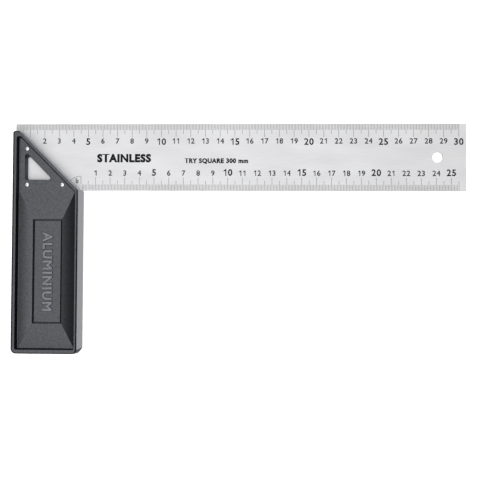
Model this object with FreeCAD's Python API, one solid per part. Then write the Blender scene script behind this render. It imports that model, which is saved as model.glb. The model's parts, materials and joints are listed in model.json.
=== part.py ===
import FreeCAD, Part
import math
import os

# Try and mitre square: a 300 mm rule blade riveted into a one-piece die-cast stock.
#
# The part lies flat in its own frame. The origin is the inner corner, on the blade's
# middle plane: x = 0 is the stock's milled inner face, y = 0 the blade's inner edge.
# +X runs to the blade's free end, +Y across the blade away from the grip, +Z out of
# the front face. The stock is the same on both sides of z = 0.

V = FreeCAD.Vector
CENTRE = V(0, 0, 0)
UP = V(0, 0, 1)

# Blade
BLADE_LENGTH = 305.0
BLADE_WIDTH = 45.4
BLADE_THICKNESS = 1.2
BLADE_EDGE_BREAK = 0.1
HANGING_HOLE_R = 3.55
HANGING_HOLE_FROM_END = 19.0

# Stock: sizes in plan at the middle plane, where the die parts. The inner face x = 0
# and the 45 degree mitre face x + y = 0 are milled back from the casting.
STOCK_WIDTH = 45.2
STOCK_THICKNESS = 18.0
STOCK_BOTTOM = -110.9
STOCK_TOP = 40.2
DIE_DRAFT = math.radians(4.2)
MILL_ALLOWANCE = STOCK_THICKNESS / 2 * math.tan(DIE_DRAFT)
LOWER_CORNER_R = 3.5
MITRE_TOP_R = 5.3
SMALL_CORNER_R = 1.6
RIM_EDGE_R = 1.5

# Recess inside the rim, at the stock's face
RECESS_LEFT = -41.75
RECESS_RIGHT = -1.85
RECESS_BOTTOM = -107.4
RECESS_TOP = 35.7
RECESS_MITRE_SUM = -3.4
RECESS_FLOOR = 5.1
RECESS_DRAFT = math.radians(8)
RECESS_CORNER_R = 1.1
RECESS_FOOT_R = 0.5
SOFT_EDGE_R = 0.3             # cast edges of the recess and the window

# Hipped finger hollow in the grip, and the name pad at its bottom
HOLLOW_TOP = -1.4
HOLLOW_MARGIN = 1.0           # from the recess edge at the face to the hollow's edge
HOLLOW_SAG = 0.35             # how far the slopes hang below a straight line, half way down
PAD_LEFT = -32.3
PAD_RIGHT = -12.2
PAD_TOP = -19.7
PAD_BOTTOM = -90.6
PAD_RIM = 1.9
PAD_FLOOR = 0.85
PAD_WALL_SLOPE = math.radians(48)

# Triangular window in each cheek
WINDOW_LEFT = -37.1
WINDOW_BOTTOM = 6.6
WINDOW_MITRE_SUM = -11.2
WINDOW_CORNER_R = 1.1
WINDOW_DRAFT = math.radians(9)

# Rivets
RIVETS = {
    "rivet_top": (-35.9, 27.9),
    "rivet_corner": (-35.7, 3.5),
    "rivet_inner": (-11.7, 3.5),
}
RIVET_R = 1.40
RIVET_CLEARANCE = 0.02
RIVET_DOME = 0.35
RIVET_DIMPLE_R = 0.6
RIVET_DIMPLE_DEPTH = 0.45

HALF_BLADE = BLADE_THICKNESS / 2
HALF_STOCK = STOCK_THICKNESS / 2
CUT_PAST = 1.0                # how far a cutting tool runs past the face it enters by
TOUCH = 1e-4                  # two places closer than this are the same place


def rounded_outline(corners, radii, z):
    """Closed wire at height z through the corners, each rounded by its own radius."""
    points = [V(x, y, z) for x, y in corners]
    rounds = []
    for i, (point, radius) in enumerate(zip(points, radii)):
        back = (points[i - 1] - point).normalize()
        ahead = (points[(i + 1) % len(points)] - point).normalize()
        half_angle = back.getAngle(ahead) / 2
        reach = radius / math.tan(half_angle)
        to_middle = radius / math.sin(half_angle) - radius
        middle = point + (back + ahead).normalize() * to_middle
        rounds.append((point + back * reach, middle, point + ahead * reach))
    edges = []
    for i, (start, middle, end) in enumerate(rounds):
        edges.append(Part.Arc(start, middle, end).toShape())
        edges.append(Part.LineSegment(end, rounds[(i + 1) % len(rounds)][0]).toShape())
    return Part.Wire(edges)


def taper(outline, slope, low, high, at):
    """Solid between heights low and high, its walls leaning out upwards by slope.

    outline(inset, z) gives the wire, and inset is zero at the height `at`.
    """
    ends = [outline((at - z) * math.tan(slope), z) for z in (low, high)]
    return Part.makeLoft(ends, True, True)


def edges_at(shape, z):
    """Edges of a shape that lie in the plane of height z."""
    def level(edge):
        box = edge.BoundBox
        return abs(box.ZMin - z) < TOUCH and abs(box.ZMax - z) < TOUCH
    return [edge for edge in shape.Edges if level(edge)]


def edges_along(shape, wire):
    """Edges of a shape whose middle point lies on the wire."""
    def follows(edge):
        middle = edge.valueAt((edge.FirstParameter + edge.LastParameter) / 2)
        return wire.distToShape(Part.Vertex(middle))[0] < TOUCH
    return [edge for edge in shape.Edges if follows(edge)]


def stock_outline(inset, z):
    """Plan of the stock as cast, moved in by inset all round."""
    left = -STOCK_WIDTH + inset
    right = MILL_ALLOWANCE - inset
    bottom = STOCK_BOTTOM + inset
    top = STOCK_TOP - inset
    mitre = right * math.sqrt(2)
    corners = [(left, bottom), (right, bottom), (right, mitre - right), (mitre - top, top), (left, top)]
    radii = [LOWER_CORNER_R, LOWER_CORNER_R, SMALL_CORNER_R, MITRE_TOP_R, SMALL_CORNER_R]
    return rounded_outline(corners, radii, z)


def recess_outline(inset, z):
    """Plan of the recess inside the rim, moved in by inset all round."""
    left = RECESS_LEFT + inset
    right = RECESS_RIGHT - inset
    bottom = RECESS_BOTTOM + inset
    top = RECESS_TOP - inset
    mitre = RECESS_MITRE_SUM - inset * math.sqrt(2)
    corners = [(left, bottom), (right, bottom), (right, mitre - right), (mitre - top, top), (left, top)]
    return rounded_outline(corners, [RECESS_CORNER_R] * len(corners), z)


def window_outline(inset, z):
    """Plan of the triangular window, moved in by inset all round."""
    left = WINDOW_LEFT + inset
    bottom = WINDOW_BOTTOM + inset
    mitre = WINDOW_MITRE_SUM - inset * math.sqrt(2)
    corners = [(left, bottom), (mitre - bottom, bottom), (left, mitre - left)]
    return rounded_outline(corners, [WINDOW_CORNER_R] * len(corners), z)


def rectangle(left, right, bottom, top, z):
    """Closed rectangular wire at height z."""
    corners = [V(left, bottom, z), V(right, bottom, z), V(right, top, z), V(left, top, z)]
    return Part.makePolygon(corners + corners[:1])


def stock_blank():
    """Front half of the stock before it is hollowed, its outer rim edge rounded."""
    blank = taper(stock_outline, -DIE_DRAFT, 0, HALF_STOCK, 0)
    return blank.makeFillet(RIM_EDGE_R, edges_at(blank, HALF_STOCK))


def milling():
    """Cutting tools that leave the flat inner face and the 45 degree mitre face."""
    reach = STOCK_TOP - STOCK_BOTTOM
    depth = HALF_STOCK + CUT_PAST
    inner = Part.makeBox(STOCK_WIDTH, reach, depth, V(0, STOCK_BOTTOM - CUT_PAST, 0))
    mitre = Part.makeBox(STOCK_WIDTH, 2 * reach, depth, V(0, -reach, 0))
    mitre.rotate(CENTRE, UP, 45)
    return [inner, mitre]


def recess():
    """Cutting tool for the recess inside the rim."""
    tool = taper(recess_outline, RECESS_DRAFT, RECESS_FLOOR, HALF_STOCK + CUT_PAST, HALF_STOCK)
    return tool.makeFillet(RECESS_FOOT_R, edges_at(tool, RECESS_FLOOR))


def finger_hollow():
    """Cutting tool for the hipped hollow, four scooped slopes down to the name pad."""
    rim = [
        RECESS_LEFT + HOLLOW_MARGIN,
        RECESS_RIGHT - HOLLOW_MARGIN,
        RECESS_BOTTOM + HOLLOW_MARGIN,
        HOLLOW_TOP,
        RECESS_FLOOR,
    ]
    pad = [PAD_LEFT, PAD_RIGHT, PAD_BOTTOM, PAD_TOP, PAD_RIM]
    half_way = [(outer + inner) / 2 for outer, inner in zip(rim, pad)]
    half_way[-1] -= HOLLOW_SAG
    solid, ruled = True, False
    return Part.makeLoft([rectangle(*sides) for sides in (rim, half_way, pad)], solid, ruled)


def name_pad():
    """Cutting tool for the sunk name pad with its sloping walls."""
    def outline(inset, z):
        return rectangle(
            PAD_LEFT + inset, PAD_RIGHT - inset, PAD_BOTTOM + inset, PAD_TOP - inset, z
        )
    return taper(outline, PAD_WALL_SLOPE, PAD_FLOOR, PAD_RIM, PAD_RIM)


def window():
    """Cutting tool for the triangular window, down to the blade."""
    return taper(window_outline, WINDOW_DRAFT, HALF_BLADE, RECESS_FLOOR + CUT_PAST, RECESS_FLOOR)


def blade_slot():
    """Cutting tool for the half of the blade's slot on the front side."""
    width = STOCK_WIDTH + 2 * CUT_PAST
    return Part.makeBox(width, STOCK_TOP + CUT_PAST, HALF_BLADE, V(-STOCK_WIDTH - CUT_PAST, 0, 0))


def rivet_holes():
    """Cutting tools for the rivets' holes in one cheek."""
    hole_r = RIVET_R + RIVET_CLEARANCE
    return [Part.makeCylinder(hole_r, HALF_STOCK, V(x, y, 0)) for x, y in RIVETS.values()]


def make_stock():
    """The whole die-cast stock: the hollowed front half joined to its mirror image."""
    half = stock_blank()
    for tool in milling() + [recess(), finger_hollow(), name_pad(), window()]:
        half = half.cut(tool)
    soft = edges_along(half, recess_outline(0, HALF_STOCK))
    soft += edges_along(half, window_outline(0, RECESS_FLOOR))
    half = half.makeFillet(SOFT_EDGE_R, soft)
    for tool in [blade_slot()] + rivet_holes():
        half = half.cut(tool)
    return half.fuse(half.mirror(CENTRE, UP)).removeSplitter()


def make_blade():
    """The rule blade, with broken edges, the hanging hole and the rivets' holes."""
    blade = Part.makeBox(
        BLADE_LENGTH, BLADE_WIDTH, BLADE_THICKNESS, V(-STOCK_WIDTH, 0, -HALF_BLADE)
    )
    hole_x = BLADE_LENGTH - STOCK_WIDTH - HANGING_HOLE_FROM_END
    foot = V(hole_x, BLADE_WIDTH / 2, -HALF_BLADE)
    blade = blade.cut(Part.makeCylinder(HANGING_HOLE_R, BLADE_THICKNESS, foot))
    rims = edges_at(blade, HALF_BLADE) + edges_at(blade, -HALF_BLADE)
    blade = blade.makeChamfer(BLADE_EDGE_BREAK, rims)
    for x, y in RIVETS.values():
        foot = V(x, y, -HALF_BLADE)
        blade = blade.cut(
            Part.makeCylinder(RIVET_R + RIVET_CLEARANCE, BLADE_THICKNESS, foot)
        )
    return blade


def make_rivet(x, y):
    """One rivet through both cheeks and the blade, domed and dimpled at both ends."""
    shoulder = RECESS_FLOOR - RIVET_DOME / 2
    crown = shoulder + RIVET_DOME
    dimple_rim = V(RIVET_DIMPLE_R, 0, crown)
    half_profile = [
        Part.LineSegment(CENTRE, V(RIVET_R, 0, 0)),
        Part.LineSegment(V(RIVET_R, 0, 0), V(RIVET_R, 0, shoulder)),
        Part.Arc(
            V(RIVET_R, 0, shoulder),
            V((RIVET_R + RIVET_DIMPLE_R) / 2, 0, shoulder + 0.8 * RIVET_DOME),
            dimple_rim,
        ),
        Part.LineSegment(dimple_rim, V(0, 0, crown - RIVET_DIMPLE_DEPTH)),
        Part.LineSegment(V(0, 0, crown - RIVET_DIMPLE_DEPTH), CENTRE),
    ]
    face = Part.Face(Part.Wire([piece.toShape() for piece in half_profile]))
    half = face.revolve(CENTRE, UP, 360)
    rivet = half.fuse(half.mirror(CENTRE, UP)).removeSplitter()
    rivet.translate(V(x, y, 0))
    return rivet


def main():
    """Builds each piece and writes it as its own STEP file."""
    os.makedirs("parts", exist_ok=True)
    pieces = {"blade": make_blade(), "stock": make_stock()}
    for name, (x, y) in RIVETS.items():
        pieces[name] = make_rivet(x, y)
    for name, shape in pieces.items():
        solids = len(shape.Solids)
        print(name, "valid" if shape.isValid() else "INVALID", solids, round(shape.Volume, 1))
        shape.exportStep(f"parts/{name}.step")


main()
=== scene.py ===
"""Looks of a try and mitre square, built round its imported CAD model.

The blade, the stock and the rivets are the CAD pieces, dressed in their real finishes.
What is added here is what the CAD leaves out: the scales and words filled in black on
the blade, and the raised word cast on the stock's name pads.
"""
import json
import logging
import math
from dataclasses import dataclass, field
from enum import Enum
from typing import Any, Iterable, Union

import bmesh
import bpy
from mathutils import Matrix, Vector

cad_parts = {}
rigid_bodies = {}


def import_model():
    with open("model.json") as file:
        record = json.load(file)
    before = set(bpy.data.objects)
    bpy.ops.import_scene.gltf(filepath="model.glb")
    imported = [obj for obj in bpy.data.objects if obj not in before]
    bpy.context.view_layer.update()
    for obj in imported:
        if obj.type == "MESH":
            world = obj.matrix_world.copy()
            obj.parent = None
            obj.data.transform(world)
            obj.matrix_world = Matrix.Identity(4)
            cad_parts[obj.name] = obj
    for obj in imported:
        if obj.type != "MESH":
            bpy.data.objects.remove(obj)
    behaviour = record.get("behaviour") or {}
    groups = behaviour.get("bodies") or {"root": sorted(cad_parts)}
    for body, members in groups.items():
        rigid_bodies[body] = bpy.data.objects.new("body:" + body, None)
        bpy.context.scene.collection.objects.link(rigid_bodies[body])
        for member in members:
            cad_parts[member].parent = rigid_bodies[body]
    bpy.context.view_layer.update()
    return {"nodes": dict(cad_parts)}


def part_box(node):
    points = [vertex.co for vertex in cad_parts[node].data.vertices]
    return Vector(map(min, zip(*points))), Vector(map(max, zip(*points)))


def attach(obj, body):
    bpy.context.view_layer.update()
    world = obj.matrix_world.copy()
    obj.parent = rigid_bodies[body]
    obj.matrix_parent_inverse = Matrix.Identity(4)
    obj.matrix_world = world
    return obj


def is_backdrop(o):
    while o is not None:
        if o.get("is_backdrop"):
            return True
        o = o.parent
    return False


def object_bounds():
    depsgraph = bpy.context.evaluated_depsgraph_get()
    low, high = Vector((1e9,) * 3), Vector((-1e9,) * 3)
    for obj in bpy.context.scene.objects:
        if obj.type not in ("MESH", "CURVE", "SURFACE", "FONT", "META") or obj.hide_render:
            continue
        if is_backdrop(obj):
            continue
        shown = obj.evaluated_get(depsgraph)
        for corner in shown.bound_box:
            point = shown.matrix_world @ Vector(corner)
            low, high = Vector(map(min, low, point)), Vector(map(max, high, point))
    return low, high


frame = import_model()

log = logging.getLogger("square")

MM = 0.001
CORNER_RADIUS = 3.5 * MM          # of the stock's lower corners
WELD = 0.0005 * MM                # points nearer than this are one point
NOISE_MIDDLE = (0.3, 0.7)         # most of a noise's heights lie between these
SHARPEST = 0.6                    # keeps a sharp corner's move from running away
BODY = "root"
Colour = tuple[float, float, float, float]


def hex_colour(code: str) -> Colour:
    """Turn an sRGB hex colour into the linear colour that shaders use.

    Args:
        code: six hex digits, with or without a leading #.

    Returns:
        Linear red, green, blue and an alpha of 1.
    """
    digits = code.lstrip("#")
    parts = [int(digits[i : i + 2], 16) / 255 for i in (0, 2, 4)]
    linear = [c / 12.92 if c <= 0.04045 else ((c + 0.055) / 1.055) ** 2.4 for c in parts]
    return (linear[0], linear[1], linear[2], 1.0)


def add_node(
    tree: bpy.types.NodeTree,
    kind: str,
    inputs: Union[dict[Any, Any], None] = None,
    **settings: Any,
) -> bpy.types.Node:
    """Add a node with its settings, values and incoming links.

    Args:
        tree: the node tree to add to.
        kind: the node's type name.
        inputs: input name or index to a value, or to an output socket to link from.
        settings: the node's own properties.

    Returns:
        The new node.
    """
    node = tree.nodes.new(kind)
    for name, value in settings.items():
        setattr(node, name, value)
    for key, value in (inputs or {}).items():
        if isinstance(value, bpy.types.NodeSocket):
            tree.links.new(value, node.inputs[key])
        else:
            node.inputs[key].default_value = value
    return node


def empty_material(name: str) -> tuple[bpy.types.Material, bpy.types.NodeTree]:
    """Make a material with an empty node tree.

    Args:
        name: the material's name.

    Returns:
        The material and its tree.
    """
    material = bpy.data.materials.new(name)
    material.use_nodes = True
    material.node_tree.nodes.clear()
    return material, material.node_tree


def grain(
    tree: bpy.types.NodeTree, size_mm: tuple[float, float, float], detail: float = 2.0
) -> bpy.types.NodeSocket:
    """A noise whose grains have a real size along each axis.

    Args:
        tree: the node tree to add to.
        size_mm: the grain's length along X, Y and Z in millimetres.
        detail: how many finer octaves it carries.

    Returns:
        The noise's height, from 0 to 1 about 0.5.
    """
    place = add_node(tree, "ShaderNodeTexCoord")
    stretch = add_node(
        tree,
        "ShaderNodeMapping",
        {"Vector": place.outputs["Object"], "Scale": [1 / (s * MM) for s in size_mm]},
    )
    noise = add_node(
        tree,
        "ShaderNodeTexNoise",
        {"Vector": stretch.outputs["Vector"], "Scale": 1.0, "Detail": detail},
    )
    return noise.outputs["Fac"]


def spread(
    tree: bpy.types.NodeTree, value: bpy.types.NodeSocket, low: float, high: float
) -> bpy.types.NodeSocket:
    """Stretch the middle of a noise over a range of values.

    Args:
        tree: the node tree to add to.
        value: the noise to read.
        low: what its dark places become.
        high: what its light places become.

    Returns:
        The stretched value.
    """
    ranged = add_node(
        tree,
        "ShaderNodeMapRange",
        {"Value": value, "From Min": NOISE_MIDDLE[0], "From Max": NOISE_MIDDLE[1],
         "To Min": low, "To Max": high},
    )
    return ranged.outputs["Result"]


def tinted(
    tree: bpy.types.NodeTree, factor: bpy.types.NodeSocket, dark: str, light: str
) -> bpy.types.NodeSocket:
    """A colour between two hex colours, chosen by a factor.

    Args:
        tree: the node tree to add to.
        factor: 0 for the dark colour and 1 for the light one.
        dark: sRGB hex of the dark colour.
        light: sRGB hex of the light colour.

    Returns:
        The mixed colour.
    """
    mix = add_node(
        tree,
        "ShaderNodeMix",
        {"Factor": factor, 6: hex_colour(dark), 7: hex_colour(light)},
        data_type="RGBA",
    )
    return mix.outputs[2]


def light_curve(
    tree: bpy.types.NodeTree, value: bpy.types.NodeSocket, points: Iterable[tuple[float, float]]
) -> bpy.types.NodeSocket:
    """A curve of light through a few points.

    Args:
        tree: the node tree to add to.
        value: what it is read at, from -1 to 1.
        points: places from -1 to 1, each with the light there.

    Returns:
        The light.
    """
    share = add_node(tree, "ShaderNodeMapRange", {"Value": value, "From Min": -1.0})
    ramp = add_node(tree, "ShaderNodeValToRGB", {0: share.outputs[0]})
    stops = ramp.color_ramp.elements
    for i, (place, light) in enumerate(points):
        stop = stops[i] if i < len(stops) else stops.new(1.0)
        stop.position = (place + 1) / 2
        stop.color = (light, light, light, 1)
    return ramp.outputs[0]


@dataclass(frozen=True)
class BrushedStainless:
    """Stainless rule steel, belt-brushed along its length: pale, satin, softly streaked."""

    name: str = "brushed_stainless_rule"
    dark: str = "#E4E4E5"
    light: str = "#E9E9EA"
    roughness: float = 0.78
    # A belt leaves lines about 0.05 mm apart, too fine to show, so they are drawn 0.5 mm apart.
    line_length_mm: float = 9.0
    line_pitch_mm: float = 0.5
    line_depth_mm: float = 0.002
    line_bump: float = 0.08
    cloud_mm: tuple[float, float, float] = (40.0, 12.0, 12.0)
    uneven: float = 0.03              # how far the roughness strays in the clouds

    def build(self) -> bpy.types.Material:
        """Make the material.

        Returns:
            The material.
        """
        material, tree = empty_material(self.name)
        lines = grain(tree, (self.line_length_mm, self.line_pitch_mm, self.line_pitch_mm), 4.0)
        cloud = grain(tree, self.cloud_mm, 1.0)
        bump = add_node(
            tree,
            "ShaderNodeBump",
            {"Height": lines, "Strength": self.line_bump, "Distance": self.line_depth_mm * MM},
        )
        shader = add_node(
            tree,
            "ShaderNodeBsdfPrincipled",
            {
                "Base Color": tinted(tree, spread(tree, lines, 0.0, 1.0), self.dark, self.light),
                "Metallic": 1.0,
                "Roughness": spread(
                    tree, cloud, self.roughness - self.uneven, self.roughness + self.uneven
                ),
                "Normal": bump.outputs["Normal"],
            },
        )
        add_node(tree, "ShaderNodeOutputMaterial", {"Surface": shader.outputs["BSDF"]})
        return material


@dataclass(frozen=True)
class CoatedCasting:
    """Die-cast aluminium under a thin dark grey lacquer, its two working faces milled bare.

    The lacquer is finely grained, so it mirrors light softly and goes black where it
    faces away from it. The bare faces are pale, with fine cutter lines along them.
    """

    name: str = "lacquered_casting"
    coat_dark: str = "#434447"
    coat_light: str = "#505154"
    coat_roughness: float = 0.44
    # Sprayed grain is about 0.3 mm, too fine to show, so it is drawn at 0.45 mm on a 1.1 mm mottle.
    fine_grain_mm: float = 0.45
    mottle_mm: float = 1.1
    grain_depth_mm: float = 0.02
    grain_bump: float = 0.5
    coat_uneven: float = 0.04         # how far the coat's roughness strays in its grain
    bare_dark: str = "#B8B9BE"
    bare_light: str = "#C9CACF"
    bare_roughness: float = 0.36
    cutter_pitch_mm: float = 0.7
    cutter_line_mm: float = 30.0
    cutter_depth_mm: float = 0.01
    cutter_bump: float = 0.3
    inner_face_skin_mm: float = 0.04
    mitre_edge_bared_mm: float = 0.65
    inner_face_foot: float = 0.0      # in metres: below this Y the cutter missed the corner

    def bare_mask(self, tree: bpy.types.NodeTree) -> bpy.types.NodeSocket:
        """Where the casting is milled bare: on x = 0, and on x + y = 0 with its edges.

        Args:
            tree: the node tree to add to.

        Returns:
            1 on the milled faces and 0 elsewhere.
        """
        place = add_node(tree, "ShaderNodeTexCoord")
        axes = add_node(tree, "ShaderNodeSeparateXYZ", {0: place.outputs["Object"]})
        inner = add_node(
            tree,
            "ShaderNodeMath",
            {0: axes.outputs["X"], 1: -self.inner_face_skin_mm * MM},
            operation="GREATER_THAN",
        )
        above_foot = add_node(
            tree,
            "ShaderNodeMath",
            {0: axes.outputs["Y"], 1: self.inner_face_foot},
            operation="GREATER_THAN",
        )
        reached = add_node(
            tree,
            "ShaderNodeMath",
            {0: inner.outputs[0], 1: above_foot.outputs[0]},
            operation="MULTIPLY",
        )
        along = add_node(
            tree,
            "ShaderNodeMath",
            {0: axes.outputs["X"], 1: axes.outputs["Y"]},
            operation="ADD",
        )
        mitre = add_node(
            tree,
            "ShaderNodeMath",
            {0: along.outputs[0], 1: -self.mitre_edge_bared_mm * math.sqrt(2) * MM},
            operation="GREATER_THAN",
        )
        both = add_node(
            tree,
            "ShaderNodeMath",
            {0: reached.outputs[0], 1: mitre.outputs[0]},
            operation="MAXIMUM",
        )
        return both.outputs[0]

    def coat(self, tree: bpy.types.NodeTree) -> bpy.types.NodeSocket:
        """The lacquer's shader.

        Args:
            tree: the node tree to add to.

        Returns:
            The shader's output.
        """
        fine = grain(tree, (self.fine_grain_mm,) * 3)
        mottle = grain(tree, (self.mottle_mm,) * 3)
        height = add_node(tree, "ShaderNodeMath", {0: fine, 1: mottle}, operation="ADD")
        bump = add_node(
            tree,
            "ShaderNodeBump",
            {
                "Height": height.outputs[0],
                "Strength": self.grain_bump,
                "Distance": self.grain_depth_mm * MM,
            },
        )
        shader = add_node(
            tree,
            "ShaderNodeBsdfPrincipled",
            {
                "Base Color": tinted(
                    tree, spread(tree, mottle, 0.0, 1.0), self.coat_dark, self.coat_light
                ),
                "Metallic": 1.0,
                "Roughness": spread(
                    tree, fine, self.coat_roughness - self.coat_uneven,
                    self.coat_roughness + self.coat_uneven,
                ),
                "Normal": bump.outputs["Normal"],
            },
        )
        return shader.outputs["BSDF"]

    def bare(self, tree: bpy.types.NodeTree) -> bpy.types.NodeSocket:
        """The milled aluminium's shader.

        Args:
            tree: the node tree to add to.

        Returns:
            The shader's output.
        """
        lines = grain(tree, (self.cutter_pitch_mm * 4, self.cutter_line_mm, self.cutter_pitch_mm), 3.0)
        bump = add_node(
            tree,
            "ShaderNodeBump",
            {"Height": lines, "Strength": self.cutter_bump, "Distance": self.cutter_depth_mm * MM},
        )
        shader = add_node(
            tree,
            "ShaderNodeBsdfPrincipled",
            {
                "Base Color": tinted(
                    tree, spread(tree, lines, 0.0, 1.0), self.bare_dark, self.bare_light
                ),
                "Metallic": 1.0,
                "Roughness": self.bare_roughness,
                "Normal": bump.outputs["Normal"],
            },
        )
        return shader.outputs["BSDF"]

    def build(self, milled: bool = True) -> bpy.types.Material:
        """Make the material.

        Args:
            milled: whether the piece has the milled faces.

        Returns:
            The material.
        """
        material, tree = empty_material(self.name)
        surface = self.coat(tree)
        if milled:
            mix = add_node(
                tree,
                "ShaderNodeMixShader",
                {"Fac": self.bare_mask(tree), 1: surface, 2: self.bare(tree)},
            )
            surface = mix.outputs[0]
        add_node(tree, "ShaderNodeOutputMaterial", {"Surface": surface})
        return material


@dataclass(frozen=True)
class PeenedSteel:
    """Bright steel rivet ends, dressed flat after peening: pale, with tiny hammer marks."""

    name: str = "peened_steel"
    dark: str = "#DADAD8"
    light: str = "#F2F2F0"
    roughness: float = 0.34
    mark_mm: float = 0.5
    mark_depth_mm: float = 0.02
    mark_bump: float = 0.3

    def build(self) -> bpy.types.Material:
        """Make the material.

        Returns:
            The material.
        """
        material, tree = empty_material(self.name)
        marks = grain(tree, (self.mark_mm,) * 3)
        bump = add_node(
            tree,
            "ShaderNodeBump",
            {"Height": marks, "Strength": self.mark_bump, "Distance": self.mark_depth_mm * MM},
        )
        shader = add_node(
            tree,
            "ShaderNodeBsdfPrincipled",
            {
                "Base Color": tinted(tree, spread(tree, marks, 0.0, 1.0), self.dark, self.light),
                "Metallic": 1.0,
                "Roughness": self.roughness,
                "Normal": bump.outputs["Normal"],
            },
        )
        add_node(tree, "ShaderNodeOutputMaterial", {"Surface": shader.outputs["BSDF"]})
        return material


@dataclass(frozen=True)
class EtchFill:
    """Black stoving enamel wiped into the etched marks: near black, dull, slightly uneven."""

    name: str = "black_etch_fill"
    dark: str = "#050506"
    light: str = "#111112"
    roughness: float = 0.55
    uneven: float = 0.1               # how much rougher it is in its specks
    specular: float = 0.15            # matt: it hardly mirrors the light overhead
    speck_mm: float = 0.4

    def build(self) -> bpy.types.Material:
        """Make the material.

        Returns:
            The material.
        """
        material, tree = empty_material(self.name)
        specks = grain(tree, (self.speck_mm,) * 3)
        shader = add_node(
            tree,
            "ShaderNodeBsdfPrincipled",
            {
                "Base Color": tinted(tree, spread(tree, specks, 0.0, 1.0), self.dark, self.light),
                "Roughness": spread(tree, specks, self.roughness, self.roughness + self.uneven),
                "Specular IOR Level": self.specular,
            },
        )
        add_node(tree, "ShaderNodeOutputMaterial", {"Surface": shader.outputs["BSDF"]})
        return material


class Side(Enum):
    """The square's two faces, by the direction of their outward normal along Z."""

    FRONT = 1
    BACK = -1

    def facing(self) -> Matrix:
        """Turn a shape made to be read from above so that it is read from this side."""
        return Matrix.Rotation(0.0 if self is Side.FRONT else math.pi, 4, "Y")

    def word(self) -> str:
        """The side's name for a piece."""
        return self.name.lower()


class ScaleEdge(Enum):
    """The blade's two long edges, each with its own centimetre scale."""

    OUTER = "outer"
    INNER = "inner"


def as_piece(
    name: str, bm: bmesh.types.BMesh, material: bpy.types.Material, smooth: bool = False
) -> bpy.types.Object:
    """Turn a finished mesh into a named piece that rides on the square.

    Args:
        name: the piece's name.
        bm: its mesh, already in place. It is freed.
        material: its finish.
        smooth: whether its faces are shaded smooth.

    Returns:
        The new object.
    """
    bmesh.ops.remove_doubles(bm, verts=bm.verts, dist=WELD)
    bmesh.ops.recalc_face_normals(bm, faces=bm.faces)
    for face in bm.faces:
        face.smooth = smooth
    mesh = bpy.data.meshes.new(name)
    bm.to_mesh(mesh)
    bm.free()
    mesh.materials.append(material)
    piece = bpy.data.objects.new(name, mesh)
    bpy.context.scene.collection.objects.link(piece)
    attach(piece, BODY)
    log.info("%s: %d faces", name, len(mesh.polygons))
    return piece


def dress(node: str, material: bpy.types.Material) -> None:
    """Give a CAD node its finish.

    Args:
        node: the CAD node's name.
        material: the finish.
    """
    piece = frame["nodes"][node]
    piece.data.materials.clear()
    piece.data.materials.append(material)
    log.info("%s: dressed in %s", node, material.name)


def outward(bm: bmesh.types.BMesh) -> dict[bmesh.types.BMVert, Vector]:
    """For each point on the rim of a flat mesh, the move that grows the rim by one unit.

    Args:
        bm: a mesh that lies flat, facing up.

    Returns:
        The move of each rim point.
    """
    moves = {}
    for vert in (v for v in bm.verts if v.is_boundary):
        normals = []
        for edge in (e for e in vert.link_edges if e.is_boundary):
            start, end = (v.co for v in edge.verts)
            normal = (end - start).cross(Vector((0, 0, 1))).normalized()
            inside = edge.link_faces[0].calc_center_median()
            normals.append(normal if normal.dot(start - inside) > 0 else -normal)
        mean = sum(normals, Vector()).normalized()
        moves[vert] = mean / max(mean.dot(normals[0]), SHARPEST)
    return moves


def drop_rim(
    bm: bmesh.types.BMesh, moves: dict[bmesh.types.BMVert, Vector], drop: float, grow: float
) -> dict[bmesh.types.BMVert, Vector]:
    """Pull a new rim down from the open rim of a mesh, growing it on the way.

    Args:
        bm: the mesh.
        moves: the move of each point of the open rim that grows it by one unit.
        drop: how far the new rim lies below the old.
        grow: how far it stands outside the old.

    Returns:
        The moves of the new rim's points.
    """
    rim = [e for e in bm.edges if e.is_boundary]
    pulled = bmesh.ops.extrude_edge_only(bm, edges=rim)["geom"]
    fresh = {}
    for vert in (g for g in pulled if isinstance(g, bmesh.types.BMVert)):
        origin = next(o for o in (e.other_vert(vert) for e in vert.link_edges) if o in moves)
        fresh[vert] = moves[origin]
    for vert, move in fresh.items():
        vert.co += move * grow - Vector((0, 0, drop))
    return fresh


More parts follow.
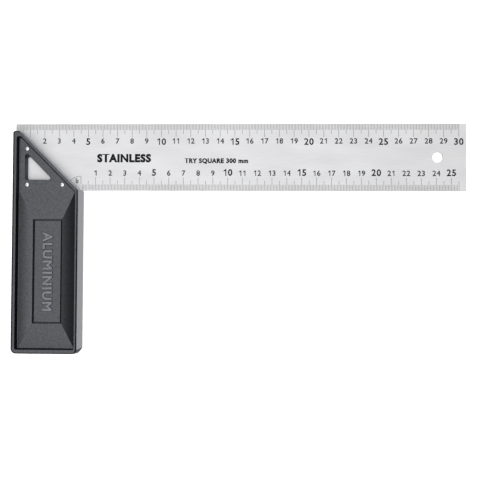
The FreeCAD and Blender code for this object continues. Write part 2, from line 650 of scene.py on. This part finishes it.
@dataclass
class Lettering:
    """Plain sans-serif letters and figures as closed meshes, all lengths in metres.

    A letter's face is at z = 0. Its walls flare out by the flare over the rise below
    that, and then go straight down by the root.
    """

    cap_height: float
    rise: float
    weight: float = 0.0               # how much fatter the strokes are than the built-in face's
    flare: float = 0.0
    root: float = 0.0
    spacing: float = 0.0              # extra space between letters, over type size
    cap_share: float = 0.682          # capital height over type size in the built-in face
    figure_share: float = 0.53        # spacing of figures over type size
    smallest_step: float = 0.004      # shortest edge kept in an outline, over type size
    curve_steps: int = 3              # how finely the built-in face's curves are cut
    one_stem: float = 0.11            # the figure 1's stem and flag, over type size
    one_flag: float = 0.15
    made: dict[str, bpy.types.Mesh] = field(default_factory=dict)

    @property
    def size(self) -> float:
        """The type size that gives the capital height, fattened strokes included."""
        return (self.cap_height - 2 * self.weight) / self.cap_share

    def flat_text(self, words: str) -> bmesh.types.BMesh:
        """Flat letters from the built-in face, centred on x = 0.

        Args:
            words: what they say.

        Returns:
            A mesh of their faces.
        """
        curve = bpy.data.curves.new("letters", "FONT")
        curve.body = words
        curve.size = self.size
        curve.align_x = "CENTER"
        curve.resolution_u = self.curve_steps
        curve.space_character = 1 + self.spacing + 2 * self.weight / self.size
        holder = bpy.data.objects.new("letters", curve)
        bpy.context.scene.collection.objects.link(holder)
        ready = holder.evaluated_get(bpy.context.evaluated_depsgraph_get())
        mesh = bpy.data.meshes.new_from_object(ready)
        bm = bmesh.new()
        bm.from_mesh(mesh)
        for data in (holder, curve, mesh):
            bpy.data.batch_remove([data])
        return bm

    def flat_one(self) -> bmesh.types.BMesh:
        """A flat figure 1 with a flag, which the built-in face draws as a bare stroke.

        Returns:
            A mesh of its face.
        """
        bm = bmesh.new()
        stem, flag, top = (k * self.size for k in (self.one_stem, self.one_flag, self.cap_share))
        outline = [
            (0, 0), (stem, 0), (stem, top), (0.3 * stem, top),
            (-flag, top - flag), (-flag, top - flag - stem), (0, top - 1.2 * flag),
        ]
        bm.faces.new([bm.verts.new((x, y, 0)) for x, y in outline])
        return bm

    def text(self, words: str) -> bpy.types.Mesh:
        """Solid letters standing near y = 0 and centred on x = 0.

        Args:
            words: what they say.

        Returns:
            Their mesh, kept for the next time it is asked for.
        """
        if words not in self.made:
            bm = self.flat_one() if words == "1" else self.flat_text(words)
            bmesh.ops.remove_doubles(bm, verts=bm.verts, dist=self.smallest_step * self.size)
            moves = outward(bm)
            for vert, move in moves.items():
                vert.co += move * self.weight
            bmesh.ops.translate(bm, verts=bm.verts, vec=(0, self.weight, 0))
            moves = drop_rim(bm, moves, self.rise, self.flare)
            if self.root:
                drop_rim(bm, moves, self.root, 0.0)
            rim = [e for e in bm.edges if e.is_boundary]
            bmesh.ops.triangle_fill(bm, use_beauty=True, use_dissolve=False, edges=rim)
            bmesh.ops.recalc_face_normals(bm, faces=bm.faces)
            mesh = bpy.data.meshes.new("letters")
            bm.to_mesh(mesh)
            bm.free()
            self.made[words] = mesh
        return self.made[words]

    def number(self, bm: bmesh.types.BMesh, value: int, place: Matrix) -> None:
        """Add a whole number to a mesh, its figures evenly spaced about the middle.

        Args:
            bm: the mesh to add to.
            value: the number.
            place: where its middle goes, at the foot of its figures.
        """
        figures = str(value)
        pitch = self.figure_share * self.size + self.weight
        start = -pitch * (len(figures) - 1) / 2
        for i, figure in enumerate(figures):
            join(bm, self.text(figure), place @ Matrix.Translation((start + pitch * i, 0, 0)))


def join(bm: bmesh.types.BMesh, mesh: bpy.types.Mesh, place: Matrix) -> None:
    """Add a placed copy of a mesh.

    Args:
        bm: the mesh to add to.
        mesh: what is added.
        place: where it goes.
    """
    copy = bmesh.new()
    copy.from_mesh(mesh)
    bmesh.ops.transform(copy, matrix=place, verts=copy.verts)
    moved = bpy.data.meshes.new("moved")
    copy.to_mesh(moved)
    copy.free()
    bm.from_mesh(moved)
    bpy.data.meshes.remove(moved)


@dataclass
class RuleBlade:
    """The blade: brushed steel with its scales and words etched and filled in black."""

    steel: bpy.types.Material
    fill: bpy.types.Material
    node: str = "blade"
    slot: str = "scale_ink"
    film: float = 0.03 * MM           # thickness of the fill, half of it sunk in the steel
    line_width: float = 0.2 * MM
    edge_gap: float = 0.1 * MM
    tick_mm: float = 4.1 * MM
    tick_five: float = 6.8 * MM
    tick_ten: float = 8.9 * MM
    outer_figures: float = 9.8 * MM   # from the outer edge to the tops of its figures
    inner_figures: float = 10.1 * MM  # from the inner edge to the feet of its figures
    small_figure: float = 3.65 * MM
    large_figure: float = 4.5 * MM
    small_weight: float = 0.1 * MM
    large_weight: float = 0.17 * MM
    outer_length: int = 300           # millimetres marked on each scale
    inner_length: int = 255
    outer_first: int = 2              # the 1 would be under the stock
    words_x: float = 29.4 * MM
    words_foot: float = 19.2 * MM
    words_height: float = 5.7 * MM
    words_weight: float = 0.44 * MM
    note_x: float = 92.4 * MM
    note_foot: float = 18.7 * MM
    note_height: float = 3.3 * MM
    note_weight: float = 0.24 * MM
    mark_radius: float = 9.8 * MM
    mark_start: float = 4.4 * MM
    mark_share: float = 0.55          # half the mark's line, over the scales' line width
    mark_steps: int = 12
    label_height: float = 1.9 * MM
    label_weight: float = 0.1 * MM
    label_x: float = -1.7 * MM
    label_y: float = 6.6 * MM

    def __post_init__(self) -> None:
        """Read the blade's place from the frame, and prepare the figures."""
        self.low, self.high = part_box(self.node)
        self.small = Lettering(self.small_figure, self.film, self.small_weight)
        self.large = Lettering(self.large_figure, self.film, self.large_weight)

    def face(self, side: Side) -> float:
        """The height of one of the blade's faces."""
        return self.high.z if side is Side.FRONT else self.low.z

    def letters_on(self, side: Side, x: float, y: float) -> Matrix:
        """Where letters go to lie on a face, half their thickness sunk in the steel.

        Args:
            side: which face.
            x: their middle along the blade.
            y: their foot across the blade.

        Returns:
            Their place.
        """
        height = self.face(side) + side.value * self.film / 2
        return Matrix.Translation((x, y, height)) @ side.facing()

    def bar(
        self, bm: bmesh.types.BMesh, side: Side, x: tuple[float, float], y: tuple[float, float]
    ) -> None:
        """Add a straight filled line on a face.

        Args:
            bm: the mesh to add to.
            side: which face.
            x: its lowest and highest place along the blade.
            y: its lowest and highest place across the blade.
        """
        middle = Vector(((x[0] + x[1]) / 2, (y[0] + y[1]) / 2, self.face(side)))
        size = Matrix.Diagonal((x[1] - x[0], y[1] - y[0], self.film, 1))
        bmesh.ops.create_cube(bm, size=1.0, matrix=Matrix.Translation(middle) @ size)

    def tick_length(self, mm: int) -> float:
        """How long a line of the scales is.

        Args:
            mm: the whole millimetre it stands at.

        Returns:
            Its length in metres.
        """
        if mm % 10 == 0:
            return self.tick_ten
        return self.tick_five if mm % 5 == 0 else self.tick_mm

    def scale(self, edge: ScaleEdge, side: Side) -> None:
        """Build one centimetre scale on one face.

        Args:
            edge: which long edge it runs along.
            side: which face.
        """
        outer = edge is ScaleEdge.OUTER
        zero = self.low.x if outer else 0.0
        root = self.high.y - self.edge_gap if outer else self.low.y + self.edge_gap
        inward = -1 if outer else 1
        bm = bmesh.new()
        for mm in range(1, (self.outer_length if outer else self.inner_length) + 1):
            x = zero + mm * MM
            ends = sorted((root, root + inward * (self.tick_length(mm) - self.edge_gap)))
            half = self.line_width / 2
            self.bar(bm, side, (x - half, x + half), (ends[0], ends[1]))
        first = self.outer_first if outer else 1
        for cm in range(first, (self.outer_length if outer else self.inner_length) // 10 + 1):
            face = self.large if cm % 5 == 0 else self.small
            foot = self.low.y + self.inner_figures
            if outer:
                foot = self.high.y - self.outer_figures - face.cap_height
            face.number(bm, cm, self.letters_on(side, zero + cm * 10 * MM, foot))
        as_piece(f"{edge.value}_scale_{side.word()}", bm, self.fill)

    def words(self, side: Side) -> None:
        """Build the plain words that say what the blade and the tool are.

        Args:
            side: which face they are on.
        """
        for name, words, x, foot, height, weight in (
            ("blade_word", "STAINLESS", self.words_x, self.words_foot, self.words_height,
             self.words_weight),
            ("size_word", "TRY SQUARE 300 mm", self.note_x, self.note_foot, self.note_height,
             self.note_weight),
        ):
            letters = Lettering(height, self.film, weight)
            bm = bmesh.new()
            join(bm, letters.text(words), self.letters_on(side, x, foot))
            as_piece(f"{name}_{side.word()}", bm, self.fill)

    def angle_mark(self, side: Side) -> None:
        """Build the small mark at the inner corner that shows the mitre's 45 degrees.

        Args:
            side: which face it is on.
        """
        half = self.line_width * self.mark_share
        bm = bmesh.new()
        self.bar(bm, side, (-half, half), (self.mark_start, self.mark_radius))
        arc = bmesh.new()
        bmesh.ops.create_grid(arc, x_segments=1, y_segments=1, size=0.5)
        upright = Matrix.Rotation(math.pi / 2, 4, "Y")
        section = Matrix.Diagonal((1, 2 * half, self.film, 1)) @ upright
        bmesh.ops.transform(arc, matrix=section, verts=arc.verts)
        place = Vector((0, self.mark_radius, self.face(side)))
        bmesh.ops.translate(arc, verts=arc.verts, vec=place)
        bmesh.ops.spin(
            arc, geom=arc.verts[:] + arc.edges[:] + arc.faces[:], cent=(0, 0, 0), axis=(0, 0, 1),
            angle=math.pi / 4, steps=self.mark_steps,
        )
        swept = bpy.data.meshes.new("arc")
        arc.to_mesh(swept)
        arc.free()
        bm.from_mesh(swept)
        label = Lettering(self.label_height, self.film, self.label_weight)
        turn = Matrix.Rotation(math.pi / 2, 4, "Z")
        place = self.letters_on(side, self.label_x, self.label_y) @ turn
        join(bm, label.text("45°"), place)
        as_piece(f"angle_mark_{side.word()}", bm, self.fill)

    def build(self) -> None:
        """Dress the blade and build every mark on both its faces."""
        dress(self.node, self.steel)
        for side in Side:
            for edge in ScaleEdge:
                self.scale(edge, side)
            self.words(side)
            self.angle_mark(side)


@dataclass
class CastStock:
    """The stock: a lacquered casting with a raised word on each name pad."""

    casting: bpy.types.Material
    # The raised word's finish: the casting's lacquer painted lighter, a painted highlight on the
    # raised letters.
    letters: bpy.types.Material
    node: str = "stock"
    slot: str = "cast_stock"
    word: str = "ALUMINIUM"
    pad_x: float = -22.2 * MM
    pad_y: float = -55.6 * MM
    letter_height: float = 6.6 * MM
    letter_rise: float = 0.6 * MM
    letter_root: float = 0.2 * MM
    letter_weight: float = 0.32 * MM
    letter_spacing: float = 0.1
    letter_flare: float = 0.3 * MM

    def pad_height(self, side: Side) -> float:
        """The height of the name pad's floor, found by looking straight at it.

        Args:
            side: which face.

        Returns:
            Its Z in metres.
        """
        stock = frame["nodes"][self.node]
        low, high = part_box(self.node)
        start = Vector((self.pad_x, self.pad_y, side.value * (high.z - low.z)))
        hit, place, _, _ = stock.ray_cast(start, Vector((0, 0, -side.value)))
        if not hit:
            raise RuntimeError("the stock has no name pad where the word goes")
        return place.z

    def raised_word(self, side: Side) -> None:
        """Build the raised word, read from the blade towards the foot of the grip.

        Args:
            side: which face it is on.
        """
        letters = Lettering(
            self.letter_height, self.letter_rise, self.letter_weight, self.letter_flare,
            self.letter_root, self.letter_spacing,
        )
        bm = bmesh.new()
        foot = self.pad_x - self.letter_height / 2 * side.value
        height = self.pad_height(side) + self.letter_rise * side.value
        turn = Matrix.Rotation(-math.pi / 2, 4, "Z")
        place = Matrix.Translation((foot, self.pad_y, height))
        join(bm, letters.text(self.word), place @ side.facing() @ turn)
        as_piece(f"cast_word_{side.word()}", bm, self.letters)

    def build(self) -> None:
        """Dress the casting and build its words."""
        dress(self.node, self.casting)
        for side in Side:
            self.raised_word(side)


@dataclass
class Rivets:
    """The three rivets, whose bright ends show on both faces."""

    steel: bpy.types.Material
    prefix: str = "rivet"

    def build(self) -> None:
        """Dress every rivet."""
        for node in sorted(frame["nodes"]):
            if node.startswith(self.prefix):
                dress(node, self.steel)


@dataclass
class Studio:
    """A pale floor, soft overhead light and the camera."""

    camera_place: tuple[float, float, float] = (0.1268, -0.0457, 0.5)
    camera_yaw: float = math.radians(-2.084)
    camera_pitch: float = math.radians(-1.424)
    camera_roll: float = math.radians(-0.309)
    lens: float = 55.58
    floor_radius: float = 1.2
    bowl_radius: float = 1.5
    bowl_sweep: float = math.radians(80)
    bowl_steps: tuple[int, int] = (16, 64)    # up its side, and round it
    paper: str = "#F4F4F4"
    paper_roughness: float = 0.9
    paper_glow: float = 0.72
    softbox_size: tuple[float, float] = (1.1, 2.0)
    softbox_place: tuple[float, float, float] = (0.0, -0.35, 1.0)
    softbox_radiance: float = 1.65
    # The room is a tunnel of white card along Y between black flags. Its light by the
    # direction's Z, and how much of it is left by the direction's X.
    room_by_height: tuple[tuple[float, float], ...] = (
        (-1.0, 1.25), (-0.85, 0.85), (-0.5, 0.05), (0.0, 0.85), (0.5, 0.8), (1.0, 0.8),
    )
    room_by_side: tuple[tuple[float, float], ...] = (
        (-1.0, 0.02), (-0.8, 0.08), (-0.6, 0.35), (-0.3, 1.0), (0.0, 1.1), (0.3, 0.6),
        (0.6, 0.08), (1.0, 0.0),
    )

    def backdrop(self) -> None:
        """Lay a pale bowl: flat under the square, rising far from it. Only the camera sees it."""
        low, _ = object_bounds()
        bm = bmesh.new()
        middle = bm.verts.new((0, 0, low.z))
        bend = bm.verts.new((self.floor_radius, 0, low.z))
        bm.edges.new((middle, bend))
        above_bend = Vector((self.floor_radius, 0, low.z + self.bowl_radius))
        bmesh.ops.spin(
            bm, geom=[bend], cent=above_bend, axis=(0, -1, 0), angle=self.bowl_sweep,
            steps=self.bowl_steps[0],
        )
        bmesh.ops.spin(
            bm, geom=bm.verts[:] + bm.edges[:], cent=(0, 0, 0), axis=(0, 0, 1),
            angle=2 * math.pi, steps=self.bowl_steps[1], use_merge=True,
        )
        bmesh.ops.remove_doubles(bm, verts=bm.verts, dist=MM)
        for face in bm.faces:
            face.smooth = True
        mesh = bpy.data.meshes.new("backdrop")
        bm.to_mesh(mesh)
        bm.free()
        material, tree = empty_material("white_paper_backdrop")
        shader = add_node(
            tree,
            "ShaderNodeBsdfPrincipled",
            {
                "Base Color": hex_colour(self.paper),
                "Roughness": self.paper_roughness,
                "Emission Color": hex_colour("#FFFFFF"),
                "Emission Strength": self.paper_glow,
            },
        )
        add_node(tree, "ShaderNodeOutputMaterial", {"Surface": shader.outputs["BSDF"]})
        mesh.materials.append(material)
        backdrop = bpy.data.objects.new("backdrop", mesh)
        bpy.context.scene.collection.objects.link(backdrop)
        for ray in ("glossy", "diffuse", "transmission", "shadow"):
            setattr(backdrop, f"visible_{ray}", False)
        backdrop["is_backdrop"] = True

    def softbox(self) -> None:
        """Hang one wide softbox over the square."""
        data = bpy.data.lights.new("softbox", "AREA")
        data.shape = "RECTANGLE"
        data.size, data.size_y = self.softbox_size
        area = data.size * data.size_y
        data.energy = self.softbox_radiance * math.pi * area
        light = bpy.data.objects.new("softbox", data)
        light.location = self.softbox_place
        bpy.context.scene.collection.objects.link(light)

    def room(self) -> None:
        """Fill the room with dim light: bright above and along Y, dark at the two sides."""
        world = bpy.data.worlds.new("room")
        bpy.context.scene.world = world
        world.use_nodes = True
        tree = world.node_tree
        tree.nodes.clear()
        place = add_node(tree, "ShaderNodeTexCoord")
        axes = add_node(tree, "ShaderNodeSeparateXYZ", {0: place.outputs["Generated"]})
        by_height = light_curve(tree, axes.outputs["Z"], self.room_by_height)
        by_side = light_curve(tree, axes.outputs["X"], self.room_by_side)
        light = add_node(
            tree, "ShaderNodeMath", {0: by_height, 1: by_side}, operation="MULTIPLY"
        )
        back = add_node(tree, "ShaderNodeBackground", {"Strength": light.outputs[0]})
        back.inputs["Color"].default_value = (1, 1, 1, 1)
        add_node(tree, "ShaderNodeOutputWorld", {"Surface": back.outputs[0]})

    def camera(self) -> None:
        """Stand the camera over the square, near the middle of its blade."""
        data = bpy.data.cameras.new("camera")
        data.lens = self.lens
        data.clip_start, data.clip_end = 0.01, 20.0
        camera = bpy.data.objects.new("camera", data)
        turn = (
            Matrix.Rotation(-self.camera_yaw, 4, "Y")
            @ Matrix.Rotation(-self.camera_pitch, 4, "X")
            @ Matrix.Rotation(-self.camera_roll, 4, "Z")
        )
        camera.matrix_world = Matrix.Translation(self.camera_place) @ turn
        bpy.context.scene.collection.objects.link(camera)
        bpy.context.scene.camera = camera

    def build(self) -> None:
        """Set up the whole studio."""
        bpy.context.scene.view_settings.view_transform = "Standard"
        self.backdrop()
        self.softbox()
        self.room()
        self.camera()


def main() -> None:
    """Build the square's looks and its studio, piece by piece."""
    logging.basicConfig(level=logging.INFO, format="%(message)s")
    casting = CoatedCasting(inner_face_foot=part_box("stock")[0].y + CORNER_RADIUS)
    # The raised word gets a lighter copy of the lacquer: a painted highlight for the light its raised
    # faces catch.
    letters = CoatedCasting("rubbed_lacquer", coat_dark="#5D5E62", coat_light="#707175")
    RuleBlade(BrushedStainless().build(), EtchFill().build()).build()
    CastStock(casting.build(), letters.build(milled=False)).build()
    Rivets(PeenedSteel().build()).build()
    Studio().build()


if __name__ == "__main__":
    main()
